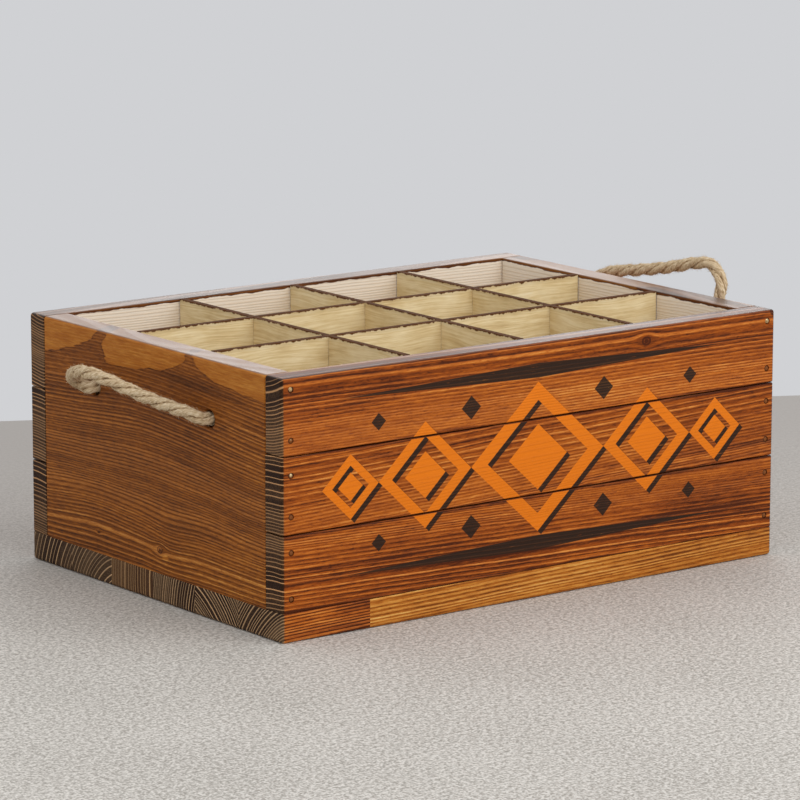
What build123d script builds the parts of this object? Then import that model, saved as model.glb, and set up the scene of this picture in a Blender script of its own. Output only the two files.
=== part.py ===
from build123d import *

import os
from math import cos, pi, radians, sin, tan

# A pine crate that carries twelve bottles in a lift-out grid of plywood dividers.
# It stands on its base with the origin under its middle, X along its length and the front at -Y.
# All sizes are in millimetres.

# Outside sizes of the crate
crate_length = 386.0
crate_depth = 275.0
crate_height = 160.0

# Boards
base_thickness = 18.0
end_thickness = 18.0
wall_thickness = 17.0
plank_gap = 0.6
front_stave_joint = 64.5  # from the left end to the butt joint in the front stave
planks_per_wall = 3
stave_count = 6

# Edges as they are sanded
corner_round = 2.5
rim_round = 2.0
inner_rim_round = 1.0
foot_round = 2.0
joint_round = 0.8

# Divider grid, halved together and dropped in
divider_thickness = 4.0
divider_end_clearance = 0.5
halving_clearance = 0.3
cells_along = 4
cells_across = 3

# Panel pins through the planks into the ends
pin_length = 38.0
pin_radius = 0.9
pin_point = 2.0
pin_head_radius = 1.6
pin_head_edge = 0.3
pin_head_height = 0.7
pin_edge_distance = 6.5
pin_clearance = 0.05
pin_head_clearance = 0.35
pin_height_shares = ((0.18, 0.78), (0.23, 0.76), (0.20, 0.85))  # of each plank, from the bottom one up

# Countersunk screws up through the base
screw_length = 40.0
screw_radius = 1.75
screw_head_radius = 3.6
screw_head_height = 2.6
screw_point = 5.0
screw_recess = 0.6
screw_clearance = 0.1
screw_wall_shares = (-0.42, -0.14, 0.14, 0.42)  # of the length, along each long wall
screw_end_shares = (-0.25, 0.25)  # of the depth, along each end

# Rope handles
rope_diameter = 8.5
rope_hole_diameter = 11.0
rope_hole_chamfer = 0.8
rope_hole_spacing = 124.5
rope_hole_height = 124.0
rope_swing_clearance = 0.35  # between a loop and the board it swings on
knot_diameter = 26.0
knot_length = 21.0
knot_chamfer = 6.0
tail_length = 19.0
tail_slope = 65.0  # degrees below level
left_lean = 38.0  # degrees from level
right_lean = 79.0
arc_share = 0.45  # of the shorter run beside a corner

cut_overrun = 5.0

# Sizes that follow
end_inside = crate_length / 2 - end_thickness
wall_inside = crate_depth / 2 - wall_thickness
wall_height = crate_height - base_thickness
plank_height = (wall_height - (planks_per_wall - 1) * plank_gap) / planks_per_wall
plank_pitch = plank_height + plank_gap
stave_width = crate_depth / stave_count
cell_length = 2 * end_inside / cells_along
cell_width = 2 * wall_inside / cells_across
divider_height = wall_height
halving_width = divider_thickness + halving_clearance
halving_depth = (divider_height + halving_clearance) / 2
pin_inset = crate_length / 2 - pin_edge_distance
pin_hole_length = pin_length + pin_clearance
screw_wall_line = crate_depth / 2 - wall_thickness / 2
screw_end_line = crate_length / 2 - end_thickness / 2
rope_radius = rope_diameter / 2
hole_offset = rope_hole_spacing / 2
swing_line = crate_length / 2 + rope_radius + rope_swing_clearance

# Each loop's route in its own plane: how far along from the middle of the handle, and how far out
# from the line through the two bends at the board, which the loop swings about.
left_route = (
    (-hole_offset, 0),
    (-57.5, 4.5),
    (-46.0, 6.3),
    (-30.0, 8.3),
    (-15.0, 12.0),
    (1.0, 19.5),
    (17.0, 26.8),
    (34.0, 27.8),
    (50.0, 24.6),
    (62.7, 20.4),
    (73.0, 16.5),
    (75.6, 8.2),
    (70.9, 0.9),
    (hole_offset, 0),
)
right_route = (
    (-hole_offset, 0),
    (-67.0, 12.0),
    (-70.5, 26.0),
    (-72.0, 39.0),
    (-67.5, 49.0),
    (-57.0, 54.5),
    (-42.0, 52.5),
    (-26.0, 48.0),
    (-6.0, 43.5),
    (16.0, 39.5),
    (38.0, 36.0),
    (54.0, 30.0),
    (64.0, 20.0),
    (66.5, 9.0),
    (hole_offset, 0),
)

low_corner = (Align.MIN, Align.MIN, Align.MIN)
standing = (Align.CENTER, Align.CENTER, Align.MIN)


def pin_places(level):
    """Centres of the pin holes on the back of one plank, as (x, z)."""
    bottom = base_thickness + level * plank_pitch
    heights = [bottom + share * plank_height for share in pin_height_shares[level]]
    return [(x, z) for x in (-pin_inset, pin_inset) for z in heights]


def pin_seat(x, z):
    """Where a back-wall pin's head rests, turned so that the pin's own -Z points into the wood."""
    return Pos(x, crate_depth / 2 - pin_head_height, z) * Rot(-90, 0, 0)


def panel_pin():
    """A pin with a low domed head, its head resting at the origin and its point down."""
    outline = Polyline(
        (0, -pin_length),
        (pin_radius, pin_point - pin_length),
        (pin_radius, 0),
        (pin_head_radius, 0),
        (pin_head_radius, pin_head_edge),
    )
    crown = TangentArc((0, pin_head_height), (pin_head_radius, pin_head_edge), tangent=(1, 0))
    axis_line = Line((0, pin_head_height), (0, -pin_length))
    half = make_face(outline + crown + axis_line)
    return Rot(90, 0, 0) * revolve(half, Axis.Y)


def pin_hole():
    """The hole that a pin makes, with the wood dented round its head."""
    shaft = Cylinder(
        pin_radius + pin_clearance, pin_hole_length, align=(Align.CENTER, Align.CENTER, Align.MAX)
    )
    dent = Cylinder(
        pin_head_radius + pin_head_clearance, pin_head_height + cut_overrun, align=standing
    )
    return shaft + dent


def wall_pins():
    """The twelve pins of the back wall."""
    one = panel_pin()
    return [pin_seat(x, z) * one for level in range(planks_per_wall) for x, z in pin_places(level)]


def back_plank(level):
    """One plank of the back wall, outer edges rounded and the joints between planks eased."""
    bottom = base_thickness + level * plank_pitch
    body = Pos(-crate_length / 2, wall_inside, bottom) * Box(
        crate_length, wall_thickness, plank_height, align=low_corner
    )
    top_plank = level == planks_per_wall - 1
    body = fillet(body.edges().filter_by(Axis.Z).group_by(Axis.Y)[-1], corner_round)
    lower_edges = body.faces().sort_by(Axis.Z)[0].edges().sort_by(Axis.Y)[1:]
    body = fillet(lower_edges, joint_round)
    upper_edges = body.faces().sort_by(Axis.Z)[-1].edges().sort_by(Axis.Y)[1:]
    body = fillet(upper_edges, rim_round if top_plank else joint_round)
    if top_plank:
        inner_edge = body.faces().sort_by(Axis.Z)[-1].edges().sort_by(Axis.Y)[0]
        body = fillet(inner_edge, inner_rim_round)
    hole = pin_hole()
    for x, z in pin_places(level):
        body -= pin_seat(x, z) * hole
    return body


def right_end_board():
    """The right end board, between the long walls, with its two rope holes."""
    body = Pos(end_inside, 0, base_thickness) * Box(
        end_thickness, 2 * wall_inside, wall_height, align=(Align.MIN, Align.CENTER, Align.MIN)
    )
    rim_edges = body.edges().filter_by(Axis.Y).group_by(Axis.Z)[-1].sort_by(Axis.X)
    body = fillet(rim_edges[-1], rim_round)
    rim_edges = body.edges().filter_by(Axis.Y).group_by(Axis.Z)[-1].sort_by(Axis.X)
    body = fillet(rim_edges[0], inner_rim_round)
    for y in (-hole_offset, hole_offset):
        body -= Pos(end_inside + end_thickness / 2, y, rope_hole_height) * Rot(0, 90, 0) * Cylinder(
            rope_hole_diameter / 2, end_thickness + cut_overrun
        )
    body = chamfer(body.edges().filter_by(GeomType.CIRCLE), rope_hole_chamfer)
    hole = pin_hole()
    for level in range(planks_per_wall):
        for x, z in pin_places(level):
            if x > 0:
                back_hole = pin_seat(x, z) * hole
                body -= back_hole
                body -= mirror(back_hole, about=Plane.XZ)
    return body


def base_screw():
    """A countersunk wood screw, head down at the origin and point up."""
    half = make_face(
        Polyline(
            (0, 0),
            (screw_head_radius, 0),
            (screw_radius, screw_head_height),
            (screw_radius, screw_length - screw_point),
            (0, screw_length),
            close=True,
        )
    )
    return Rot(90, 0, 0) * revolve(half, Axis.Y)


def screw_hole():
    """The countersunk hole for a base screw, open below."""
    wide = screw_head_radius + screw_clearance
    narrow = screw_radius + screw_clearance
    half = make_face(
        Polyline(
            (0, -cut_overrun),
            (wide, -cut_overrun),
            (wide, 0),
            (narrow, screw_head_height),
            (narrow, screw_length + screw_clearance),
            (0, screw_length + screw_clearance),
            close=True,
        )
    )
    return Rot(90, 0, 0) * revolve(half, Axis.Y)


def screw_places():
    """Where the base screws go, as places on the underside."""
    along_walls = [
        Pos(share * crate_length, y, screw_recess)
        for y in (-screw_wall_line, screw_wall_line)
        for share in screw_wall_shares
    ]
    along_ends = [
        Pos(x, share * crate_depth, screw_recess)
        for x in (-screw_end_line, screw_end_line)
        for share in screw_end_shares
    ]
    return along_walls + along_ends


def bored_for_screws(body):
    """The body without the base screws' holes where they reach it."""
    hole = screw_hole()
    reach = body.bounding_box()
    for place in screw_places():
        at = place.position
        if reach.min.X < at.X < reach.max.X and reach.min.Y < at.Y < reach.max.Y:
            body -= place * hole
    return body


def base_slab():
    """The whole base before it is divided into its staves."""
    slab = Box(crate_length, crate_depth, base_thickness, align=standing)
    slab = fillet(slab.edges().filter_by(Axis.Z), corner_round)
    slab = fillet(slab.faces().sort_by(Axis.Z)[0].edges(), foot_round)
    return fillet(slab.faces().sort_by(Axis.Z)[-1].edges(), joint_round)


def base_stave(slab, index, left, right):
    """The stave with this index, counted from the front, between two places along the crate."""
    front = -crate_depth / 2 + index * stave_width
    keep = Pos(left, front, 0) * Box(right - left, stave_width, base_thickness, align=low_corner)
    return bored_for_screws(slab & keep)


def cross_divider(x):
    """A divider from the front wall to the back one, halved from above."""
    body = Pos(x, 0, base_thickness) * Box(
        divider_thickness, 2 * (wall_inside - divider_end_clearance), divider_height, align=standing
    )
    for number in range(1, cells_across):
        y = -wall_inside + number * cell_width
        body -= Pos(x, y, crate_height - halving_depth) * Box(
            divider_thickness + cut_overrun, halving_width, halving_depth + cut_overrun, align=standing
        )
    return body


def long_divider(y):
    """A divider from end to end, halved from below."""
    body = Pos(0, y, base_thickness) * Box(
        2 * (end_inside - divider_end_clearance), divider_thickness, divider_height, align=standing
    )
    for number in range(1, cells_along):
        x = -end_inside + number * cell_length
        body -= Pos(x, y, base_thickness - cut_overrun) * Box(
            halving_width, divider_thickness + cut_overrun, halving_depth + cut_overrun, align=standing
        )
    return body


def rope_tube(points, name):
    """A rope along straight runs joined by tangent arcs, each as large as its two runs allow."""
    radii = []
    for before, corner, after in zip(points, points[1:], points[2:]):
        run_in = corner - before
        run_out = after - corner
        half_turn = radians(run_in.get_angle(run_out)) / 2
        radii.append(arc_share * min(run_in.length, run_out.length) / tan(half_turn))
    path = FilletPolyline(*points, radius=radii)
    tube = sweep(Plane(path @ 0, z_dir=path % 0) * Circle(rope_radius), path=path)
    share = tube.volume / (pi * rope_radius**2 * path.length)
    print(f"{name}: {path.length:.0f} mm long, volume {share:.4f} of section times length")
    print("  bend radii", [round(radius, 1) for radius in radii])
    return tube


def rope_loop(side, route, lean, name):
    """The outer loop of a handle, with a round end in each bend at the board."""
    points = [
        Vector(
            side * (swing_line + out * cos(radians(lean))),
            along,
            rope_hole_height + out * sin(radians(lean)),
        )
        for along, out in route
    ]
    loop = rope_tube(points, name)
    for end in (points[0], points[-1]):
        loop += Pos(end) * Sphere(rope_radius)
    return loop


def right_rope_end(y):
    """One end of the right rope: straight through the board, then its stopper knot and tail."""
    knot_end = end_inside - knot_length
    shank = Pos(knot_end, y, rope_hole_height) * Rot(0, 90, 0) * Cylinder(
        rope_radius, knot_length + end_thickness, align=standing
    )
    knot = Pos(knot_end, y, rope_hole_height) * Rot(0, 90, 0) * Cylinder(
        knot_diameter / 2, knot_length, align=standing
    )
    knot = chamfer(knot.edges().filter_by(GeomType.CIRCLE), knot_chamfer)
    tail_start = Pos(knot_end + knot_chamfer, y, rope_hole_height)
    tail = tail_start * Rot(0, -90 - tail_slope, 0) * Cylinder(rope_radius, tail_length, align=standing)
    return knot + shank + tail


def facing_front(body):
    """The same piece of the front wall: the back one turned half round."""
    return Rot(0, 0, 180) * body


def facing_left(body):
    return mirror(body, about=Plane.YZ)


parts = {}

slab = base_slab()
half_length = crate_length / 2
joint_x = front_stave_joint - half_length
parts["base_stave_1_left"] = base_stave(slab, 0, -half_length, joint_x)
parts["base_stave_1_right"] = base_stave(slab, 0, joint_x, half_length)
for index in range(1, stave_count):
    parts[f"base_stave_{index + 1}"] = base_stave(slab, index, -half_length, half_length)

for level, name in enumerate(("bottom", "middle", "top")):
    plank = back_plank(level)
    if level == 0:
        plank = bored_for_screws(plank)
    parts[f"back_plank_{name}"] = plank
    parts[f"front_plank_{name}"] = facing_front(plank)

end_board = bored_for_screws(right_end_board())
parts["end_board_right"] = end_board
parts["end_board_left"] = facing_left(end_board)

for number in range(1, cells_along):
    parts[f"cross_divider_{number}"] = cross_divider(-end_inside + number * cell_length)
for number in range(1, cells_across):
    parts[f"long_divider_{number}"] = long_divider(-wall_inside + number * cell_width)

pins = wall_pins()
parts["back_wall_pins"] = Compound(children=pins)
parts["front_wall_pins"] = Compound(children=[facing_front(pin) for pin in pins])

screw = base_screw()
parts["base_screws"] = Compound(children=[place * screw for place in screw_places()])

parts["rope_loop_left"] = rope_loop(-1, left_route, left_lean, "rope_loop_left")
parts["rope_loop_right"] = rope_loop(1, right_route, right_lean, "rope_loop_right")
for y, place in ((-hole_offset, "front"), (hole_offset, "rear")):
    rope_end = right_rope_end(y)
    parts[f"rope_end_right_{place}"] = rope_end
    parts[f"rope_end_left_{place}"] = facing_left(rope_end)

os.makedirs("parts", exist_ok=True)
for name, solid in parts.items():
    export_step(solid, f"parts/{name}.step")
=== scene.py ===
from math import cos, pi, radians, sin

import bpy
import numpy as np
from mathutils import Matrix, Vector


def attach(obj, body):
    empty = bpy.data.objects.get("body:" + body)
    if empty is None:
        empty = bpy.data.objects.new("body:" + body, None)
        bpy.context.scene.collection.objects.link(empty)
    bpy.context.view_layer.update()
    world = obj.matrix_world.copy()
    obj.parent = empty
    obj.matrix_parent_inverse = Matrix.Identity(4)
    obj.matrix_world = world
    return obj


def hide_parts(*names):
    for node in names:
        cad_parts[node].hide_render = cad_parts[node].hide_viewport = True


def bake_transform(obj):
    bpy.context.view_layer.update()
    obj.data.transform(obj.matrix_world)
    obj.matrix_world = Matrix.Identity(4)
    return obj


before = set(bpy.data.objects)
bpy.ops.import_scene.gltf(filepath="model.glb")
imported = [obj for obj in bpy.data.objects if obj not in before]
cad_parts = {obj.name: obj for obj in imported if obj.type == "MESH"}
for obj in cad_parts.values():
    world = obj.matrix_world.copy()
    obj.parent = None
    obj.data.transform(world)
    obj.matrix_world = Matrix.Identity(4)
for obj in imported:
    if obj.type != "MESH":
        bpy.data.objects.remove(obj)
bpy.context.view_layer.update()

# The camera. It looks down on the near left corner of the crate from about three metres away,
# through a long lens, so the crate's edges stay nearly parallel.
camera_data = bpy.data.cameras.new("camera")
camera_data.lens = 200
camera_data.sensor_width = 36
camera_data.clip_end = 20
camera = bpy.data.objects.new("camera", camera_data)
camera.location = (-1.6748, -2.2155, 0.6631)
camera.rotation_euler = (radians(78.5815), radians(-0.05), radians(-37.0376))
bpy.context.scene.collection.objects.link(camera)
bpy.context.scene.camera = camera
bpy.context.scene.view_settings.view_transform = "Standard"


# Base. Seven pine boards, edge-glued into one slab that the walls stand on. The front one is in
# two lengths, butted together. The base was stained after it was glued, and its inside left raw.
# Its sizes are in millimetres, and so are those of the walls, the ends and the dividers.
half_length = 193.0
half_depth = 137.5
inside_length = 175.0
inside_depth = 120.5
base_top = 18.0
crate_top = 160.0
late_wood_width = 0.95
end_grain_width = 0.62
pin_from_middle = 186.5


class Shade:
    """A socket of a material that sums and products can be written with."""

    def __init__(self, tree, socket=None):
        self.tree = tree
        self.socket = socket

    def node(self, kind, settings=None, sockets=None, out=0):
        """Adds a node, with values or links for its sockets, and gives one of its outputs."""
        made = self.tree.nodes.new("ShaderNode" + kind)
        for name, value in (settings or {}).items():
            if name == "stops":
                ramp = made.color_ramp
                ramp.elements.remove(ramp.elements[1])
                ramp.elements[0].position, ramp.elements[0].color = value[0]
                for position, colour in value[1:]:
                    ramp.elements.new(position).color = colour
            else:
                setattr(made, name, value)
        for name, value in (sockets or {}).items():
            if isinstance(value, Shade):
                self.tree.links.new(value.socket, made.inputs[name])
            else:
                made.inputs[name].default_value = value
        return Shade(self.tree, made.outputs[out])

    def maths(self, operation, *values):
        return self.node("Math", {"operation": operation}, dict(enumerate(values)))

    def __add__(self, other):
        return self.maths("ADD", self, other)

    __radd__ = __add__

    def __sub__(self, other):
        return self.maths("SUBTRACT", self, other)

    def __rsub__(self, other):
        return self.maths("SUBTRACT", other, self)

    def __mul__(self, other):
        return self.maths("MULTIPLY", self, other)

    __rmul__ = __mul__

    def __truediv__(self, other):
        return self.maths("DIVIDE", self, other)

    def __abs__(self):
        return self.maths("ABSOLUTE", self)

    def at_most(self, other):
        return self.maths("MINIMUM", self, other)

    def at_least(self, other):
        return self.maths("MAXIMUM", self, other)

    def rise(self, low, high):
        """0 below low and 1 above high, with a soft step between. High may be the lower one."""
        sockets = {"Value": self, "From Min": low, "From Max": high}
        return self.node("MapRange", {"interpolation_type": "SMOOTHSTEP"}, sockets)

    def mix(self, low, high):
        """The colour low where this is 0, and high where it is 1."""
        return self.node("Mix", {"data_type": "RGBA"}, {0: self, 6: low, 7: high}, out=2)

    def ramp(self, places, tones):
        """A colour that runs through these tones, each one where this value has its place."""
        return self.node("ValToRGB", {"stops": tuple(zip(places, tones))}, {0: self})

    def bump(self, strength, distance):
        """The surface's direction with this as its relief, distance metres high."""
        sockets = {"Strength": strength, "Distance": distance, "Height": self}
        return self.node("Bump", None, sockets)

    def noise(self, x, y, z, detail=2, roughness=0.5, out=0):
        place = self.node("CombineXYZ", None, {0: x, 1: y, 2: z})
        sockets = {"Vector": place, "Scale": 1, "Detail": detail, "Roughness": roughness}
        return self.node("TexNoise", None, sockets, out)

    def noise_of(self, value, detail):
        """Noise that changes with one value only."""
        sockets = {"W": value, "Scale": 1, "Detail": detail}
        return self.node("TexNoise", {"noise_dimensions": "1D"}, sockets)

    def split(self):
        """The three parts of a vector or colour."""
        made = self.node("SeparateXYZ", None, {0: self})
        outputs = made.socket.node.outputs
        return [Shade(self.tree, outputs[number]) for number in range(3)]


def tone(red, green, blue):
    """A colour from the 0 to 255 values that it is seen as."""
    parts = [value / 255 for value in (red, green, blue)]
    linear = [v / 12.92 if v < 0.04045 else ((v + 0.055) / 1.055) ** 2.4 for v in parts]
    return (*linear, 1)


def new_finish(name):
    """A material with nothing on its shader yet, and a place to start its maths from."""
    made = bpy.data.materials.new(name)
    made.use_nodes = True
    shader = made.node_tree.nodes["Principled BSDF"]
    return made, shader, Shade(made.node_tree)


def feed(shader, **sockets):
    """Links or sets the shader's sockets, named with _ for a space."""
    for name, value in sockets.items():
        socket = shader.inputs[name.replace("_", " ")]
        if isinstance(value, Shade):
            value.tree.links.new(value.socket, socket)
        else:
            socket.default_value = value


# Each stain is four colours, from its darkest line to its palest.
amber = (tone(70, 34, 8), tone(124, 67, 16), tone(172, 101, 28), tone(216, 150, 66))
gold = (tone(104, 52, 12), tone(172, 98, 28), tone(210, 142, 58), tone(232, 182, 98))
rust = (tone(76, 31, 8), tone(144, 68, 14), tone(192, 104, 28), tone(228, 152, 68))
raw_pale = tone(241, 229, 213)
raw_line = tone(216, 193, 164)
end_dark = tone(44, 24, 11)
end_pale = tone(227, 184, 136)
brown_end_dark = tone(74, 46, 26)
brown_end_pale = tone(212, 168, 116)
pale_streak = tone(212, 152, 104)
stain_lip = tone(60, 28, 12)
# A painted reflection: the grey that the top rims are mixed toward, for the sheen they catch.
painted_rim_sheen = tone(98, 96, 90)


def in_millimetres(start):
    """The three parts of a point's place on the crate, in millimetres."""
    place = start.node("TexCoord", out=3)
    return start.node("VectorMath", {"operation": "SCALE"}, {0: place, "Scale": 1000}).split()


def out_of_oval(along, across, oval):
    """How far out of an oval's middle a point is: 0 there, 1 on the oval and growing squared."""
    middle_along, middle_across, half_along, half_across = oval
    off_along = (along - middle_along) / half_along
    off_across = (across - middle_across) / half_across
    return off_along * off_along + off_across * off_across


def pine(
    name,
    grain,
    pith,
    drift=(0.0, 0.0),
    ring=2.6,
    wave=3.0,
    ripple_height=0.9,
    growth=(0.3, 60.0, 1.0),
    banding=0.6,
    seed=0.0,
    stain=amber,
    lift=0.0,
    contrast=1.0,
    end_brown=end_dark,
    end_cream=end_pale,
    sheen_from=-400,
    swells=(),
    knots=(),
    patches=(),
    calm=(),
    tongues=(),
    joints=(),
    pins=(),
    print_on=None,
):
    """Pine for one board, in millimetres: its rings stand round a pith line, stained outside.

    Swells, patches and calm are ovals on the board: the middle and then the half sizes, along the
    grain and across it, and how much each one does. Tongues have a slant last instead.
    """
    made, shader, start = new_finish(name)
    x, y, z = in_millimetres(start)
    along, across, deep = {"x_up": (x, z, y), "x_flat": (x, y, z), "y_up": (y, z, x)}[grain]
    warp = start.noise(along / 150 + seed, across / 60, deep / 60, detail=1, out=1)
    warp_across, warp_deep, _ = warp.split()
    ripple = start.noise(along / 36, across / 11 + seed, deep / 11, detail=2)
    run_across = across + (warp_across - 0.5) * 2 * wave + (ripple - 0.5) * ripple_height
    run_deep = deep + (warp_deep - 0.5) * wave
    for *oval, height in swells:
        near = out_of_oval(along, across, oval) * -1
        run_across = run_across - start.maths("EXPONENT", near) * height
    knot_dark = None
    for knot_along, knot_across, knot_radius in knots:
        off_along = (along - knot_along) / (knot_radius * 2.6)
        off_across = (across - knot_across) / (knot_radius * 1.5)
        near = (off_along * off_along + off_across * off_across) * -1
        pull = start.maths("EXPONENT", near)
        run_across = run_across - off_across * pull * knot_radius * 2.2
        core_oval = (knot_along, knot_across, knot_radius * 1.25, knot_radius)
        core = start.maths("SQRT", out_of_oval(along, across, core_oval))
        spot = core.rise(1.1, 0.75) * (0.55 + 0.45 * start.maths("SINE", core * 9))
        knot_dark = spot if knot_dark is None else knot_dark.at_least(spot)
    from_pith_across = run_across - along * drift[0] - pith[0]
    from_pith_deep = run_deep - along * drift[1] - pith[1]
    radius = start.maths(
        "SQRT", from_pith_across * from_pith_across + from_pith_deep * from_pith_deep
    )
    spacing = start.noise_of(radius / (ring * 6) + seed, detail=1)
    uneven, years, first_year = growth
    year = radius * (2 * pi / years) + first_year
    rings = radius / ring + (spacing - 0.5) * 2.2
    rings = rings + start.maths("SINE", year) * (uneven * years / (2 * pi * ring))
    slow = 0.5 - start.maths("COSINE", year) * 0.5
    pace = (1 + uneven) - slow * (2 * uneven)
    phase = start.maths("FRACT", rings)
    late_start = 1 - pace * (late_wood_width / ring)
    late_wood = phase.rise(late_start - 0.22, late_start + 0.16) * phase.rise(1.0, 0.93)
    each = start.node(
        "TexWhiteNoise", {"noise_dimensions": "1D"}, {"W": start.maths("FLOOR", rings) + seed}
    )
    fibre = start.noise(along / 9, across / 0.85, deep / 0.85 + seed, detail=3, roughness=0.65)
    streak = start.noise(along / 48 + seed, run_across / 1.5, deep / 1.5, detail=2, roughness=0.6)
    blotch = start.noise(along / 70 + seed, across / 16, deep / 16, detail=3)
    pores = start.noise(along / 3.2, across / 0.75 + seed, deep / 0.75, detail=1).rise(0.60, 0.70)
    bands = start.noise_of(radius / 11 + seed * 3, detail=2)
    broken = start.noise(along / 13 + seed, run_across / 1.1, deep / 1.1, detail=2, roughness=0.6)
    broken = broken + 0.5

    early_edge = phase.rise(late_start - 0.45, late_start - 0.2)
    early_edge = early_edge * phase.rise(late_start + 0.02, late_start - 0.12)
    line = (late_wood * (0.3 + 0.65 * each) - early_edge * 0.45) * broken
    pale_line = late_wood * (0.25 + 0.75 * each) * broken
    for *oval, amount in calm:
        contrast = contrast - out_of_oval(along, across, oval).rise(1.5, 0.3) * amount
    level = (
        0.385 + lift
        - pores * 0.15
        + (line - 0.05) * (slow * 0.32 + 0.34) * contrast
        + (fibre - 0.5) * 0.95
        + (streak - 0.5) * 0.50 * contrast
        + (blotch - 0.5) * 0.40
        + (bands - 0.5) * banding
        - (slow - 0.5) * 0.24 * uneven
    )
    for *oval, strength in patches:
        level = level + out_of_oval(along, run_across, oval).rise(1.25, 0.35) * strength
    wander = start.noise(along / 20 + seed, across / 7, 3.0, detail=3)
    for middle_along, middle_across, half_along, half_across, slant in tongues:
        from_middle = along - middle_along + (abs(deep) - half_length) * 0.7
        off_along = from_middle / half_along
        off_across = (run_across - middle_across + from_middle * slant) / half_across
        reach = off_across * off_across + off_along * off_along * off_along * off_along
        ragged = reach + (wander - 0.5) * 0.8 + (streak - 0.5) * 0.3
        sapwood = 0.72 + (fibre - 0.5) * 0.45 + (streak - 0.5) * 0.3 + (wander - 0.5) * 0.35
        level = level + ragged.rise(1.04, 0.94) * (sapwood - level)
        pale_line = pale_line * ragged.rise(0.94, 1.04)
        dark_edge = abs(ragged - 1.06).rise(0.09, 0.0) * z.rise(crate_top - 0.4, crate_top - 1.5)
        level = level - dark_edge * 0.14
    for height in joints:
        from_joint = abs(across - height) + (0.5 - blotch) * 9
        level = level - from_joint.rise(1.7, 0.35) * 0.36
        level = level - abs(across - height).rise(0.8, 0.35) * 0.2
    for pin_height in pins:
        off_x = abs(x) - pin_from_middle
        off_z = z - pin_height
        distance = start.maths("SQRT", off_x * off_x + off_z * off_z)
        level = level - distance.rise(2.2, 1.6) * 0.4
    if knot_dark is not None:
        level = level - knot_dark * 0.7
    stained = level.ramp((0.0, 0.34, 0.68, 1.0), stain)
    stained = (pale_line * 0.11).mix(stained, pale_streak)
    if grain[0] == "x":
        to_end = half_length - abs(x)
        grit = start.noise(x / 0.8, y / 0.8, z / 0.8, detail=1)
        thin_start = 1 - pace * (end_grain_width / ring)
        thin = phase.rise(thin_start - 0.10, thin_start + 0.08) * phase.rise(1.0, 0.94)
        cream = thin * (0.5 + 0.5 * each) * (0.4 + 0.6 * slow) + (1 - slow) * 0.10
        cream = cream + (grit - 0.5) * 0.25 + (bands - 0.5) * 0.2
        cut_across = cream.mix(end_brown, end_cream)
        stained = to_end.rise(1.9, 0.9).mix(stained, cut_across)

    raw = (late_wood * 0.45 + (fibre - 0.5) * 0.5 + (blotch - 0.5) * 0.4).mix(raw_pale, raw_line)
    ragged = start.noise(x / 9, y / 9, 0.0, detail=3)
    above_raw = z - crate_top + 0.9 + ragged * 2.8
    inside = abs(x).rise(inside_length + 0.5, inside_length + 0.2)
    inside = inside * abs(y).rise(inside_depth + 0.5, inside_depth + 0.2)
    lip = above_raw.rise(0.0, 0.4) * (0.6 + above_raw.rise(1.1, 0.5) * 0.3)
    stained = (inside * lip).mix(stained, stain_lip)
    inside = inside * z.rise(base_top - 0.6, base_top - 0.3) * above_raw.rise(0.6, 0.0)
    painted = inside.mix(stained, raw)
    rough = 0.50 - late_wood * 0.10 + (fibre - 0.5) * 0.2 + inside * 0.28
    if print_on is not None:
        painted, rough = print_on(x, y, z, painted, rough, fibre, line)
    relief = late_wood * 0.55 + fibre * 0.7
    rim = z.rise(crate_top - 0.6, crate_top - 0.2)
    sheen = rim * x.rise(sheen_from, sheen_from + 130)
    # Painted reflection: the top rims are mixed toward grey, standing in for the sheen they catch.
    painted = (rim * 0.58).mix(painted, painted_rim_sheen)
    feed(
        shader,
        Base_Color=painted,
        Roughness=rough,
        Normal=relief.bump(0.7, 0.0003),
        Specular_IOR_Level=0.12,
        Coat_Weight=sheen * (0.42 + (blotch - 0.5) * 0.5),
        Coat_Roughness=0.35,
    )
    return made


def finish_node(name, made):
    """Gives a CAD node its material."""
    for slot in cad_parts[name].material_slots:
        slot.material = made


# Each board: its name, pith, ring width, seed, stain, how light it is, how strong its grain is.
staves = (
    ("1_left", (-164, -40), 1.9, 0.7, rust, -0.10, 1.5),
    ("1_right", (-166, -58), 1.9, 5.3, gold, 0.07, 0.75),
    ("2", (-12, -47), 2.1, 2.1, amber, 0.0, 1.0),
    ("3", (-112, -5), 2.3, 3.3, rust, -0.05, 1.0),
    ("4", (-127, 9), 3.0, 4.9, amber, 0.05, 1.0),
    ("5", (35, -21), 3.4, 6.1, amber, 0.0, 1.0),
    ("6", (43, -20), 3.6, 7.7, amber, 0.0, 1.0),
)
stave_patches = {
    "1_left": ((-116, -half_depth, 42, 14, -0.20),),
    "1_right": ((150, -half_depth, 80, 30, -0.10), (-60, -half_depth, 45, 30, -0.07)),
}
for stave, pith, ring, seed, stain, lift, contrast in staves:
    board = pine(
        f"pine_stave_{stave}",
        "x_flat",
        pith,
        drift=(0.02, 0.012),
        ring=ring,
        wave=1.4,
        ripple_height=1.4 if stave == "1_right" else 0.6,
        seed=seed,
        stain=stain,
        lift=lift,
        contrast=contrast,
        growth=(0.18, 60, 1.0),
        banding=0.4,
        patches=stave_patches.get(stave, ()),
        end_brown=brown_end_dark if stave == "4" else end_dark,
        end_cream=brown_end_pale if stave == "4" else end_pale,
    )
    finish_node(f"base_stave_{stave}", board)


# Walls. Three pine planks a side, laid edge to edge and pinned to the end boards. Their edges were
# sanded round, stained dark in the joints, and the front carries a two-colour print.
plank_joints = (65.2, 112.7)
pin_heights = {"bottom": (26.4, 54.6), "middle": (76.3, 101.2), "top": (122.4, 153.0)}
wall_end = tone(222, 168, 116)
print_orange = tone(234, 126, 20)
print_orange_dark = tone(212, 106, 18)
print_brown = tone(46, 31, 22)
print_middle = 89.0
shadow_right = 2.8
shadow_down = 2.4
heart_share = 0.44
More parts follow.
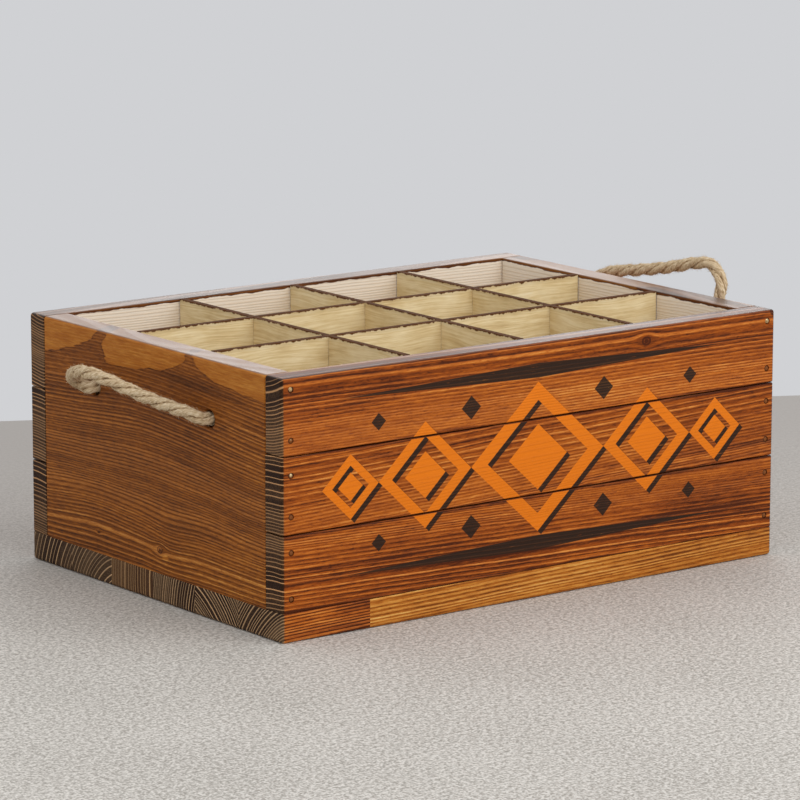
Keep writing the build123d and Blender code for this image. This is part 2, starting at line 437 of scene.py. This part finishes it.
# Each open diamond: its middle, half width, half height and stroke. All but the first are in pairs.
diamonds = ((0, 52, 47, 8.6), (87, 35, 33, 6.8), (143, 21, 20, 5.2))
rule_height = 54
rule_half_length = 150
rule_half_width = 4.6
bead_height = 37
beads = ((52, 7.5), (122, 5.5))


def diamond(across, up, half_width, half_height):
    """How deep inside a diamond a point is, in millimetres, and below 0 outside it."""
    slant = half_width * half_height / (half_width**2 + half_height**2) ** 0.5
    return (1 - abs(across) / half_width - abs(up) / half_height) * slant


def frame_of_diamonds(x, z):
    """The orange part of the print: a chain of open diamonds, each with a small one in it."""
    up = z - print_middle
    across = abs(x)
    shape = None
    for middle, half_width, half_height, stroke in diamonds:
        off = across - middle
        whole = diamond(off, up, half_width, half_height)
        hollow = whole.at_most(stroke - whole)
        heart = diamond(off, up, half_width * heart_share, half_height * heart_share)
        both = hollow.at_least(heart)
        shape = both if shape is None else shape.at_least(both)
    return shape


def dark_rules(x, z):
    """The dark part of the print: a tapering bar and four small diamonds, above and below."""
    up = abs(z - print_middle)
    across = abs(x)
    shape = diamond(across, up - rule_height, rule_half_length, rule_half_width)
    for place, size in beads:
        shape = shape.at_least(diamond(across - place, up - bead_height, size, size))
    return shape


def crate_print(x, y, z, painted, rough, fibre, line):
    """The print over the front of the planks, worn thin on the grain and missing in the joints."""
    ragged = (fibre - 0.5) * 0.5
    orange = frame_of_diamonds(x, z)
    shadow = frame_of_diamonds(x - shadow_right, z + shadow_down)
    brown = shadow.at_least(dark_rules(x, z))
    face = y.rise(-half_depth + 1.2, -half_depth + 0.7)
    worn = 0.98 - line * 0.05 - fibre.rise(0.64, 0.76) * 0.4
    for joint in plank_joints:
        worn = worn * abs(z - joint).rise(0.45, 1.0)
    orange_cover = (orange + ragged).rise(-0.15, 0.25) * face * worn
    brown_cover = (brown + ragged).rise(-0.15, 0.25) * face * worn
    shaded_orange = (fibre * 0.5 + line * 0.12).mix(print_orange, print_orange_dark)
    covered = brown_cover.mix(painted, print_brown)
    covered = orange_cover.mix(covered, shaded_orange)
    return covered, rough + orange_cover * 0.06


plank_grain = {
    "bottom": dict(
        pith=(-105, -134),
        drift=(-0.03, 0.02),
        ring=2.3,
        growth=(0.35, 66, 2.9),
        wave=1.6,
        seed=1.3,
        contrast=0.92,
        lift=-0.01,
    ),
    "middle": dict(
        pith=(-60, -131),
        drift=(0.03, 0.02),
        ring=2.5,
        growth=(0.40, 70, 1.0),
        wave=1.6,
        seed=9.4,
        contrast=0.7,
        lift=0.09,
    ),
    "top": dict(
        pith=(196, -111),
        drift=(-0.012, 0.01),
        ring=2.3,
        growth=(0.45, 80, -0.3),
        wave=1.2,
        seed=4.2,
        contrast=0.78,
        lift=0.07,
    ),
}
front_features = {
    "bottom": dict(
        patches=(
            (-120, 43, 75, 2.6, -0.22),
            (-40, 37, 200, 1.5, -0.16),
            (60, 31, 170, 2.2, -0.15),
            (125, 37, 80, 2.6, -0.24),
            # Painted shade: this broad dark patch at the right end stands for the lesser light falling
            # there.
            (150, 46, 60, 16, -0.12),
            (-20, 24, 190, 2.0, -0.14),
            (-50, 25, 70, 6, -0.07),
        ),
        calm=((115, 55, 95, 14, 0.5),),
    ),
    "middle": dict(
        knots=((32, 69.5, 1.3),),
        patches=(
            (120, 75, 100, 2.2, -0.20),
            (70, 69, 130, 1.6, -0.22),
            (-110, 106, 100, 1.6, -0.14),
            # Painted shade: this broad dark patch at the right end stands for the lesser light falling
            # there.
            (165, 90, 70, 24, -0.15),
        ),
    ),
    "top": dict(
        knots=((86, 151.5, 3.0),),
        patches=(
            (-20, 156.5, 200, 1.2, -0.12),
            (-30, 152, 190, 1.3, -0.20),
            (-60, 147, 200, 1.0, -0.16),
            (110, 144, 90, 1.0, -0.18),
            (-160, 146, 70, 14, -0.16),
            # Painted shade: this broad dark patch at the right end stands for the lesser light falling
            # there.
            (165, 132, 70, 24, -0.03),
            (192.5, 158.5, 4, 2.6, -0.6),
        ),
        calm=((-105, 121, 115, 14, 0.45),),
    ),
}
joints_of = {"bottom": (base_top, plank_joints[0]), "middle": plank_joints, "top": plank_joints[1:]}
for level, joints in joints_of.items():
    grain = plank_grain[level]
    front = pine(
        f"pine_front_{level}",
        "x_up",
        stain=rust,
        sheen_from=-90,
        banding=0.32,
        joints=joints,
        pins=pin_heights[level],
        end_cream=wall_end,
        print_on=crate_print,
        **grain,
        **front_features[level],
    )
    finish_node(f"front_plank_{level}", front)
    # The plank behind is from another board, whose heart lies higher and further out.
    grain = dict(grain)
    grain["pith"] = (grain["pith"][0] + 21, -grain["pith"][1] + 9)
    grain["seed"] += 20
    back = pine(
        f"pine_back_{level}",
        "x_up",
        stain=amber,
        joints=joints,
        pins=pin_heights[level],
        end_cream=wall_end,
        **grain,
    )
    finish_node(f"back_plank_{level}", back)


# Ends. One wide pine board at each end, set between the long walls, grain across, with two rope
# holes bored through it. The sapwood shows as pale tongues along the top.
left_end = pine(
    "pine_end_left",
    "y_up",
    pith=(-70, -150),
    drift=(0.02, 0.03),
    ring=2.0,
    growth=(0.3, 100, 3.14),
    banding=0.15,
    wave=3.4,
    ripple_height=1.3,
    seed=3.1,
    stain=amber,
    lift=0.01,
    contrast=0.68,
    swells=((64, 44, 46, 26, 4.0), (-20, 40, 24, 22, -3.0), (0, 120, 95, 60, 11.0)),
    knots=((-8, 33, 2.5), (60, 32, 1.1)),
    patches=(
        (-50, 137, 60, 4.0, -0.14),
        (0, 80, 150, 32, -0.09),
        (-70, 30, 80, 18, 0.07),
        (-14, 30, 4.0, 2.4, 0.24),
    ),
    calm=((20, 140, 125, 26, 0.42),),
    tongues=((122, 151, 64, 15.0, 0.14), (8, 151, 46, 15.0, 0.14), (-122, 160, 80, 18.0, 0.0)),
)
finish_node("end_board_left", left_end)
right_end = pine(
    "pine_end_right",
    "y_up",
    pith=(250, 162),
    drift=(-0.02, 0.03),
    ring=2.7,
    wave=3.4,
    ripple_height=1.3,
    seed=8.6,
    stain=amber,
    lift=-0.02,
    contrast=0.9,
    swells=((-50, 60, 50, 30, 8.0),),
    knots=((38, 70, 4.0),),
    tongues=((-60, 30, 60, 9, 0.0), (30, 156, 70, 9, 0.0)),
)
finish_node("end_board_right", right_end)


# Pins. Brass-plated panel pins through the plank ends into the end boards, their low heads set
# just below the stained wood. The stain covers the rim of each head, and most of the lower ones.
# The bright spot on each head is partly bare brass and partly a painted highlight.
brass_bright = tone(214, 188, 142)
brass_dull = tone(164, 130, 88)
head_stain_dark = tone(50, 28, 14)
head_stain_pale = tone(128, 74, 34)
brass, shader, start = new_finish("brass")
x, y, z = start.node("TexCoord", out=3).split()
scratch = start.noise(x * 9000, y * 900, z * 9000, detail=2)
dull = start.noise(x * 400, y * 400, z * 400, detail=2)
worn = start.noise(x * 23, y * 23, z * 61, detail=0)
_, facing, rising = start.node("NewGeometry", out=1).split()
# The bright spot is partly bare brass and partly a painted highlight: it sits where the head faces the
# front, nudged upward as if lit from above, and shows more on the higher pins.
bare_and_highlight = abs(facing) * 0.995 + rising * 0.1 + (worn - 0.55) * 0.2 + z - 0.108
bare_and_highlight = bare_and_highlight.rise(0.974, 0.99)
plated = dull.rise(0.35, 0.7).mix(brass_bright, brass_dull)
dark_ring = abs(facing).rise(0.90, 0.965).mix(head_stain_dark, head_stain_pale)
feed(
    shader,
    Base_Color=bare_and_highlight.mix(dark_ring, plated),
    Metallic=bare_and_highlight * 0.9,
    Roughness=0.6 - bare_and_highlight * 0.3,
    Normal=scratch.bump(0.3, 0.0001),
    Specular_IOR_Level=0.15,
)
finish_node("front_wall_pins", brass)
finish_node("back_wall_pins", brass)


# Screws. Twelve countersunk steel screws, driven up through the base into the walls and the ends.
# Their heads lie just inside the underside.
steel_bright = tone(188, 188, 186)
steel_dull = tone(140, 138, 134)
steel, shader, start = new_finish("steel")
x, y, z = start.node("TexCoord", out=3).split()
dull = start.noise(x * 600, y * 600, z * 600, detail=3)
feed(
    shader,
    Base_Color=dull.rise(0.3, 0.75).mix(steel_bright, steel_dull),
    Metallic=0.95,
    Roughness=0.3 + dull * 0.25,
    Normal=dull.bump(0.2, 0.0001),
)
finish_node("base_screws", steel)


# Rope handles. Each is one length of three-strand jute rope, put through the two holes of an end
# board and stopped inside by an overhand knot at each end. Nothing else holds it, so the loop
# outside swings about the two holes.
hole_offset = 0.06225
hole_height = 0.124
swing_line = 0.1976
shank_points = (0.1775, 0.184, 0.190)
# The loops' points in millimetres: how far along the board, and how far out from the swing line.
left_loop = (
    (-57.5, 4.5),
    (-46.0, 6.3),
    (-30.0, 8.3),
    (-15.0, 12.0),
    (1.0, 19.5),
    (17.0, 26.8),
    (34.0, 27.8),
    (50.0, 22.2),
    (62.4, 15.4),
    (71.2, 7.6),
    (69.4, 0.4),
)
right_loop = (
    (-67.0, 12.0),
    (-70.5, 26.0),
    (-72.0, 39.0),
    (-67.5, 49.0),
    (-57.0, 54.5),
    (-42.0, 52.5),
    (-26.0, 48.0),
    (-6.0, 43.5),
    (16.0, 39.5),
    (38.0, 36.0),
    (54.0, 30.0),
    (64.0, 20.0),
    (66.5, 9.0),
)
left_lean = 38.0
right_lean = 79.0
strand_radius = 0.0024
strand_offset = 0.0017
lay_length = 0.046
ring_step = 0.0009
section_points = 42
uv_length = 0.01
fibres_per_metre = 8000
fibre_radius = 0.0001
fibre_lengths = (0.0015, 0.0065)
fibre_stands_off = 0.0016
frayed_fibres = 150
frayed_radius = 0.00016
frayed_lengths = (0.004, 0.009)
cut_end_radius = 0.0036


def evenly(line, step=None, count=None):
    """The same line with points at equal distances: about a step apart, or this many."""
    runs = np.linalg.norm(np.diff(line, axis=0), axis=1)
    reached = np.concatenate([[0], np.cumsum(runs)])
    if count is None:
        count = max(2, round(reached[-1] / step) + 1)
    at = np.linspace(0, reached[-1], count)
    return np.stack([np.interp(at, reached, line[:, k]) for k in range(3)], 1)


def centre_line(name, corners):
    """Points along the smooth NURBS curve of these control points."""
    curve = bpy.data.curves.new(name, "CURVE")
    curve.dimensions = "3D"
    curve.resolution_u = 24
    spline = curve.splines.new("NURBS")
    spline.points.add(len(corners) - 1)
    for point, corner in zip(spline.points, corners):
        point.co = (*corner, 1)
    spline.order_u = 3
    spline.use_endpoint_u = True
    holder = bpy.data.objects.new(name, curve)
    drawn = bpy.data.meshes.new_from_object(holder)
    line = np.array([vertex.co for vertex in drawn.vertices])
    bpy.data.objects.remove(holder)
    bpy.data.curves.remove(curve)
    bpy.data.meshes.remove(drawn)
    return line


def along_line(line):
    """The line's directions, and two sideways directions that don't twist along it."""
    forward = np.gradient(line, axis=0)
    forward /= np.linalg.norm(forward, axis=1, keepdims=True)
    side = np.cross(forward[0], (0.1, 0.2, 1.0))
    sides = []
    for direction in forward:
        side = side - direction * side.dot(direction)
        side = side / np.linalg.norm(side)
        sides.append(side)
    sides = np.array(sides)
    return forward, sides, np.cross(forward, sides)


def stray_fibres(roots, directions, lifts, lengths, thickness, corners, faces, uvs, cleft, uv_at):
    """Adds thin curling fibres, each a three-sided tube that tapers over a few rings."""
    steps = 5
    taper = 0.7
    # Stray fibres count as clear of the grooves, so the painted groove shade leaves them pale.
    fibre_clear_of_grooves = 0.85
    for root, direction, lift, length, uv in zip(roots, directions, lifts, lengths, uv_at):
        side = np.cross(direction, lift)
        side /= np.linalg.norm(side) + 1e-9
        up = np.cross(side, direction)
        first = len(corners)
        for step in range(steps):
            reach = step / (steps - 1)
            middle = root + direction * length * reach + lift * length * reach * reach
            wide = thickness * (1 - taper * reach)
            for turn in range(3):
                angle = 2 * pi * turn / 3
                corners.append(middle + wide * (cos(angle) * side + sin(angle) * up))
                cleft.append(fibre_clear_of_grooves)
        for step in range(steps - 1):
            for turn in range(3):
                a = first + 3 * step + turn
                b = first + 3 * step + (turn + 1) % 3
                faces.append((a, b, b + 3, a + 3))
                uvs.extend([uv] * 4)
        faces.append((first + 2, first + 1, first))
        last = len(corners) - 3
        faces.append((last, last + 1, last + 2))
        uvs.extend([uv] * 6)


def laid_rope(name, line, seed, frayed=False):
    """A mesh of three strands laid left-handed round a line, with the fibres that stand off it."""
    line = evenly(line, ring_step)
    forward, side, up = along_line(line)
    rings = len(line)
    angles = 2 * pi * np.arange(section_points) / section_points
    to_strand = (angles + pi / 3) % (2 * pi / 3) - pi / 3
    section = strand_offset * np.cos(to_strand) + np.sqrt(
        strand_radius**2 - (strand_offset * np.sin(to_strand)) ** 2
    )
    chance = np.random.default_rng(seed)
    turned = -2 * pi * ring_step * np.arange(rings)[:, None] / lay_length + chance.uniform(0, 6)
    twisted = angles[None, :] + turned
    strand = np.floor((angles + pi / 3) / (2 * pi / 3))[None, :]
    travelled = ring_step * np.arange(rings)[:, None]
    # Each strand swells and thins on its way, and its yarns and hairs make it uneven.
    swell = 0.035 * np.sin(travelled * 900 + strand * 2.1) + 0.025 * np.sin(
        travelled * 2300 + strand * 4.2 + seed
    )
    yarns = 0.018 * np.cos(to_strand[None, :] * 17 + travelled * 700)
    hairy = chance.normal(0, 0.022, (rings, section_points))
    radius = section[None, :] * (1 + swell + yarns + hairy)
    shell = (
        line[:, None, :]
        + (radius * np.cos(twisted))[..., None] * side[:, None, :]
        + (radius * np.sin(twisted))[..., None] * up[:, None, :]
    )
    corners = list(shell.reshape(-1, 3))
    # Cleft runs from 0 in the grooves between the strands to 1 on their crowns; the jute paints shade
    # where it is low.
    low, high = section.min(), section.max()
    cleft = list(((section[None, :] * (1 + swell) - low) / (high - low)).reshape(-1))
    faces, uvs = [], []
    for ring in range(rings - 1):
        for point in range(section_points):
            following = (point + 1) % section_points
            here, there = ring * section_points, (ring + 1) * section_points
            faces.append((here + point, here + following, there + following, there + point))
            u, v = point / section_points, ring * ring_step / uv_length
            du, dv = 1 / section_points, ring_step / uv_length
            uvs.extend([(u, v), (u + du, v), (u + du, v + dv), (u, v + dv)])
    faces.append(tuple(range(section_points))[::-1])
    faces.append(tuple((rings - 1) * section_points + point for point in range(section_points)))
    uvs.extend([(0.1, 0.5)] * 2 * section_points)

    count = int(rings * ring_step * fibres_per_metre)
    at = chance.integers(1, rings - 1, count)
    spot = chance.integers(0, section_points, count)
    roots = shell[at, spot]
    outward = roots - line[at]
    outward /= np.linalg.norm(outward, axis=1, keepdims=True)
    along = forward[at] * chance.choice([-1, 1], count)[:, None]
    wander = chance.normal(0, 0.35, (count, 3))
    directions = along + 0.25 * outward + 0.5 * wander
    directions /= np.linalg.norm(directions, axis=1, keepdims=True)
    lifts = 0.30 * outward + 0.30 * wander
    lengths = chance.uniform(*fibre_lengths, count)
    tips = directions + lifts
    away = tips - forward[at] * (tips * forward[at]).sum(1, keepdims=True)
    lengths = np.minimum(lengths, fibre_stands_off / np.linalg.norm(away, axis=1))
    uv_at = list(zip(spot / section_points, at * ring_step / uv_length))
    roots = roots - 2 * fibre_radius * outward
    stray_fibres(roots, directions, lifts, lengths, fibre_radius, corners, faces, uvs, cleft, uv_at)
    if frayed:
        count = frayed_fibres
        angle = chance.uniform(0, 2 * pi, count)
        spread = cut_end_radius * np.sqrt(chance.uniform(0, 1, count))
        outward = np.cos(angle)[:, None] * side[-1] + np.sin(angle)[:, None] * up[-1]
        roots = line[-1] + spread[:, None] * outward - 0.002 * forward[-1]
        directions = forward[-1] + 60 * spread[:, None] * outward
        directions = directions + chance.normal(0, 0.15, (count, 3))
        directions /= np.linalg.norm(directions, axis=1, keepdims=True)
        lifts = 0.5 * outward + chance.normal(0, 0.2, (count, 3))
        lengths = chance.uniform(*frayed_lengths, count)
        uv_at = [(value, 0.3) for value in angle / (2 * pi)]
        stray_fibres(roots, directions, lifts, lengths, frayed_radius, corners, faces, uvs, cleft, uv_at)

    mesh = bpy.data.meshes.new(name)
    mesh.from_pydata([tuple(corner) for corner in corners], [], faces)
    mesh.attributes.new("cleft", "FLOAT", "POINT").data.foreach_set("value", np.array(cleft, "f"))
    layer = mesh.uv_layers.new(name="UVMap")
    layer.data.foreach_set("uv", np.array(uvs, "f").reshape(-1))
    mesh.shade_smooth()
    mesh.materials.append(jute)
    rope = bpy.data.objects.new(name, mesh)
    bpy.context.scene.collection.objects.link(rope)
    return rope


knot_middle = 0.1645
knot_squeeze = 0.0074
knot_reach = 0.021
knot_spins = {
    ("left", "front"): 10,
    ("left", "rear"): -35,
    ("right", "front"): 150,
    ("right", "rear"): 20,
}
tail_droops_from = 0.0095
tail_droop = 75


def tightened_knot():
    """The line of an overhand knot along X, pulled tight: it shortens until its turns touch."""
    count = 100
    pulls = 260
    pulls_to_full_reach = 60
    straightening = 0.35
    along = np.linspace(-2.18, 2.18, count)
    # The loose overhand knot to start from is a polynomial curve, in metres.
    line = np.stack(
        [
            0.0011 * (along**5 - 10 * along),
            0.0080 * (along**3 - 3 * along),
            0.0055 * (along**4 - 4 * along**2 + 2),
        ],
        1,
    )
    starts, ends = line[0].copy(), line[-1].copy()
    apart = np.abs(np.arange(count)[:, None] - np.arange(count)[None, :])
    for step in range(pulls):
        pulled = min(1, step / pulls_to_full_reach)
        line[0] = (1 - pulled) * starts + pulled * np.array([-knot_reach, 0, 0])
        line[-1] = (1 - pulled) * ends + pulled * np.array([knot_reach, 0, 0])
        for _ in range(3):
            line[1:-1] += straightening * ((line[:-2] + line[2:]) / 2 - line[1:-1])
        spacing = np.linalg.norm(np.diff(line, axis=0), axis=1).mean()
        for _ in range(4):
            between = line[:, None] - line[None]
            distance = np.linalg.norm(between, axis=2) + 1e-9
            touching = (apart * spacing > 1.55 * knot_squeeze) & (distance < knot_squeeze)
            overlap = np.where(touching, knot_squeeze - distance, 0)
            push = (between / distance[..., None] * overlap[..., None]).sum(1) / 2
            push /= np.maximum(touching.sum(1, keepdims=True), 1)
            push[0] = push[-1] = 0
            line += push
        line = evenly(line, count=count)
    return line


# Jute is a pale brown yarn, matted here and there. The grooves between the strands carry painted
# shade, lighter where the yarn is matted.
jute_tones = (tone(96, 70, 44), tone(160, 131, 95), tone(210, 186, 150), tone(240, 225, 196))
jute, shader, start = new_finish("jute")
around, along, _ = start.node("TexCoord", out=2).split()
cleft = start.node("Attribute", {"attribute_name": "cleft"}, out=2)
skewed = around * 3 + along * 0.35
fibre = start.noise(skewed * 11, along * 3.2, 0.0, detail=3, roughness=0.6)
fine_fibre = start.noise(skewed * 26, along * 5, 4.0, detail=2)
patch = start.noise(around * 2, along * 0.7, 9.0)
matted = start.noise(around * 5, along * 1.5, 15.0).rise(0.38, 0.62)
# Painted shade: the grooves between the strands are darkened, less where the yarn is matted.
painted_groove_shade = cleft.rise(0.5, 0.0) * (1 - matted * 0.6)
pale = 0.60 - painted_groove_shade * 0.50 + (fibre - 0.5) * 1.5 + (fine_fibre - 0.5) * 0.9 + (patch - 0.5) * 0.35
relief = fibre * 0.7 + fine_fibre * 0.4
feed(
    shader,
    Base_Color=pale.ramp((0.0, 0.3, 0.62, 1.0), jute_tones),
    Roughness=0.92,
    Specular_IOR_Level=0.25,
    Normal=relief.bump(0.8, 0.0004),
)

knot_line = tightened_knot()
for number, (side_name, side, loop, lean) in enumerate(
    (("left", -1, left_loop, left_lean), ("right", 1, right_loop, right_lean))
):
    bends = [(-hole_offset, 0)]
    bends += [(run / 1000, out / 1000) for run, out in loop]
    bends += [(hole_offset, 0)]
    corners = [
        (
            side * (swing_line + out * cos(radians(lean))),
            run,
            hole_height + out * sin(radians(lean)),
        )
        for run, out in bends
    ]
    into = [(side * x, -hole_offset, hole_height) for x in shank_points]
    back = [(side * x, hole_offset, hole_height) for x in reversed(shank_points)]
    path = centre_line(f"rope_route_{side_name}", into + corners + back)
    handle = laid_rope(f"rope_handle_{side_name}", path, seed=11 + number)
    for place, y in (("front", -hole_offset), ("rear", hole_offset)):
        spin = radians(knot_spins[side_name, place])
        line = knot_line * np.array([1, side, 1])
        droop = np.maximum(-line[:, 0] - tail_droops_from, 0)
        across, height = line[:, 1].copy(), line[:, 2].copy()
        line[:, 1] = across * cos(spin) - height * sin(spin)
        line[:, 2] = across * sin(spin) + height * cos(spin) - tail_droop * droop**2
        line[:, 0] += 0.3 * droop
        line = line[::-1] if line[0, 0] < line[-1, 0] else line
        line = line * np.array([side, 1, 1]) + np.array([side * knot_middle, y, hole_height])
        knot = laid_rope(f"rope_knot_{side_name}_{place}", line, seed=21 + 2 * number, frayed=True)
        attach(knot, "crate")
        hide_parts(f"rope_end_{side_name}_{place}")
    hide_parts(f"rope_loop_{side_name}")
    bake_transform(handle)


# Dividers. Five thin plywood strips, halved together and dropped into the crate. A laser cut them,
# which burnt their edges brown and scorched the faces beside the cuts. They aren't stained.
veneer_tones = (tone(196, 166, 116), tone(226, 204, 156), tone(241, 224, 184), tone(249, 238, 210))
burnt_dark = tone(70, 38, 14)
burnt_pale = tone(126, 80, 38)
scorched = tone(94, 56, 26)


def plywood(name, flat_axis, seed):
    """Plywood whose faces look along this axis, with every other side a burnt edge."""
    made, shader, start = new_finish(name)
    x, y, z = in_millimetres(start)
    along, deep = (y, x) if flat_axis == "x" else (x, y)
    facing = start.node("NewGeometry", out=3).split()[0 if flat_axis == "x" else 1]
    edge = abs(facing).rise(0.7, 0.3)
    warp = start.noise(along / 90 + seed, z / 30, seed, detail=2)
    streak = start.noise(along / 34 + seed, z / 1.1 + (warp - 0.5) * 14, deep / 3, detail=3)
    veneer = start.noise(along / 22 + seed * 2, z / 12, seed + 5, detail=2)
    fine = start.noise(along / 6, z / 0.4, seed, detail=2)
    level = 0.45 + (streak - 0.5) * 1.0 + (veneer - 0.5) * 0.8 + (fine - 0.5) * 0.4
    face = level.ramp((0.0, 0.4, 0.7, 1.0), veneer_tones)
    ragged = start.noise(along / 4.5, seed, 0.0, detail=4, roughness=0.7)
    from_top = crate_top - z
    scorch = (from_top - (ragged - 0.45) * 4.5).rise(0.9, 0.2)
    haze = from_top.rise(4.0, 0.0) * 0.2
    plies = start.maths("SINE", deep * 4.7) * 0.5 + 0.5
    burnt = (plies * 0.5 + (fine - 0.5) * 0.8).mix(burnt_dark, burnt_pale)
    face = scorch.at_least(haze).mix(face, scorched)
    relief = streak * 0.5 + fine * 0.5
    feed(
        shader,
        Base_Color=edge.mix(face, burnt),
        Roughness=0.75 - (streak - 0.5) * 0.15,
        Normal=relief.bump(0.5, 0.0002),
        Specular_IOR_Level=0.08,
    )
    return made


for number in (1, 2, 3):
    cross = plywood(f"plywood_cross_{number}", "x", seed=3.7 * number)
    finish_node(f"cross_divider_{number}", cross)
for number in (1, 2):
    long = plywood(f"plywood_long_{number}", "y", seed=20 + 5.1 * number)
    finish_node(f"long_divider_{number}", long)


# Floor and light. A pale mineral floor ends some way behind the crate, against a plain grey wall.
# One broad lamp stands to the right of the camera, with a low one behind for the sheen on the rims.
wall_turn = radians(-27.6)
wall_foot = Vector((0.2845, 0.3811, -0.0002))
floor_reach = 3.0
mineral_dark = tone(160, 155, 147)
mineral_pale = tone(222, 218, 211)
# Painted shade: the darker floor colour toward the wall.
floor_far_painted_shade = tone(166, 161, 156)
wall_grey = tone(208, 209, 212)
soft_white = (0.78, 0.78, 0.79, 1)
floor_middle = wall_foot + Vector((sin(wall_turn), -cos(wall_turn), 0)) * floor_reach
bpy.ops.object.select_all(action="DESELECT")
bpy.ops.mesh.primitive_plane_add(size=2 * floor_reach, location=floor_middle, rotation=(0, 0, wall_turn))
bpy.ops.object.transform_apply()
floor = bpy.context.object
floor.name = "floor"
mineral, shader, start = new_finish("mineral")
x, y, z = start.node("TexCoord", out=3).split()
grit = start.noise(x * 330, y * 330, 0.0, detail=2)
speck = start.noise(x * 700, y * 700, 3.0, detail=1)
cloud = start.noise(x * 9, y * 9, 6.0, detail=3)
pit = start.noise(x * 210, y * 210, 9.0, detail=1)
level = 0.53 + (grit - 0.5) * 2.4 + (speck - 0.5) * 2.6 + (cloud - 0.5) * 0.4
level = level - pit.rise(0.66, 0.76) * 0.7
colour = level.mix(mineral_dark, mineral_pale)
# Painted shade: the floor darkens toward the wall, standing for the lamp's light falling off there.
distance = y * cos(wall_turn) - x * sin(wall_turn)
feed(
    shader,
    Base_Color=distance.rise(-0.35, 0.5).mix(colour, floor_far_painted_shade),
    Roughness=0.8,
    Normal=grit.bump(0.5, 0.0005),
    Specular_IOR_Level=0.3,
)
floor.data.materials.append(mineral)

# The wall is the world itself: what the camera and the reflections see is grey, the light white.
world = bpy.data.worlds.new("studio")
bpy.context.scene.world = world
world.use_nodes = True
sky = Shade(world.node_tree)
rays = sky.node("LightPath")
seen = rays.at_least(Shade(world.node_tree, rays.socket.node.outputs["Is Glossy Ray"]))
seen = seen.at_least(Shade(world.node_tree, rays.socket.node.outputs["Is Transmission Ray"]))
backdrop = world.node_tree.nodes["Background"]
around = seen.mix(soft_white, wall_grey)
world.node_tree.links.new(around.socket, backdrop.inputs["Color"])
backdrop.inputs["Strength"].default_value = 1.0


def lamp(name, place, target, size, power):
    """A square soft lamp that the camera doesn't see."""
    data = bpy.data.lights.new(name, "AREA")
    data.size = size
    data.energy = power
    made = bpy.data.objects.new(name, data)
    made.location = place
    made.rotation_euler = (Vector(target) - Vector(place)).to_track_quat("-Z", "Y").to_euler()
    made.visible_camera = False
    bpy.context.scene.collection.objects.link(made)


lamp("key_lamp", place=(0.4, -1.7, 1.5), target=(0, 0, 0.08), size=2.4, power=25)
lamp("rim_lamp", place=(1.25, 1.6, 0.75), target=(0, 0, 0.15), size=0.9, power=5)
